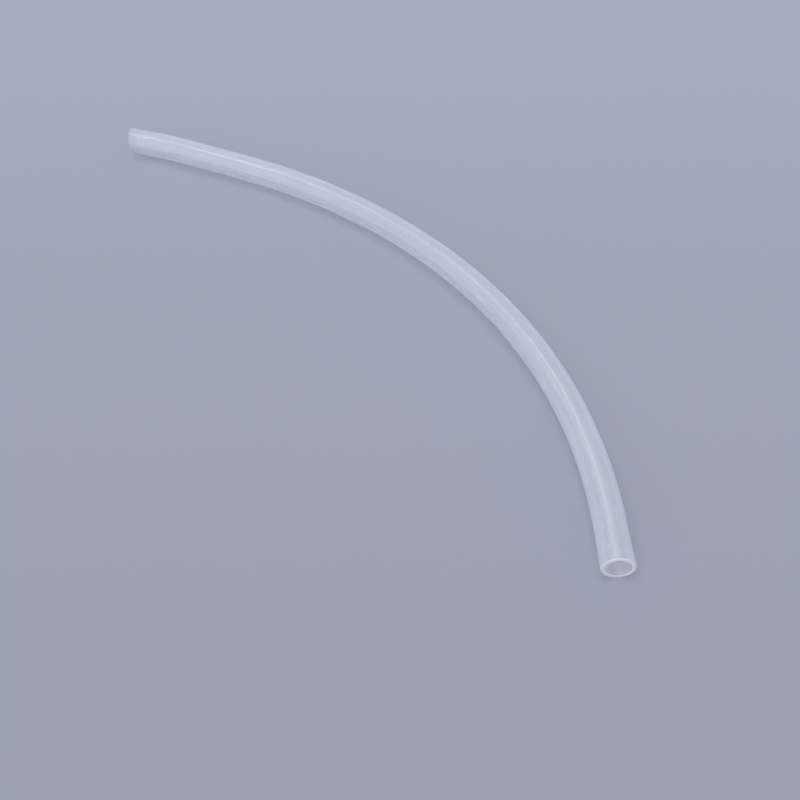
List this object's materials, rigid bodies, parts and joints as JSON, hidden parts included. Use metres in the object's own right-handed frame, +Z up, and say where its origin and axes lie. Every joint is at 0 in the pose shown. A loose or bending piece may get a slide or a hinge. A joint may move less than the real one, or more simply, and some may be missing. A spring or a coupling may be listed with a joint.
{
  "type": "silicone tubing",
  "caption": "Short cut length of translucent flexible tubing, open at both ends and lying in one gentle curve, for carrying liquids or gases.",
  "frame": {"origin": "middle of the tube's outline seen from above, on the surface that it lies on", "axes": "+Z up, +X along the longest side of the curve's outline, from the far end to the near end, with the hollow of the curve towards -Y"},
  "size_m": [0.2834, 0.0678, 0.01],
  "materials": {
    "silicone": "milky translucent, satin, with faint lines along its length"
  },
  "bodies": {
    "root": {"silicone_tube": "silicone"}
  },
  "joints": []
}
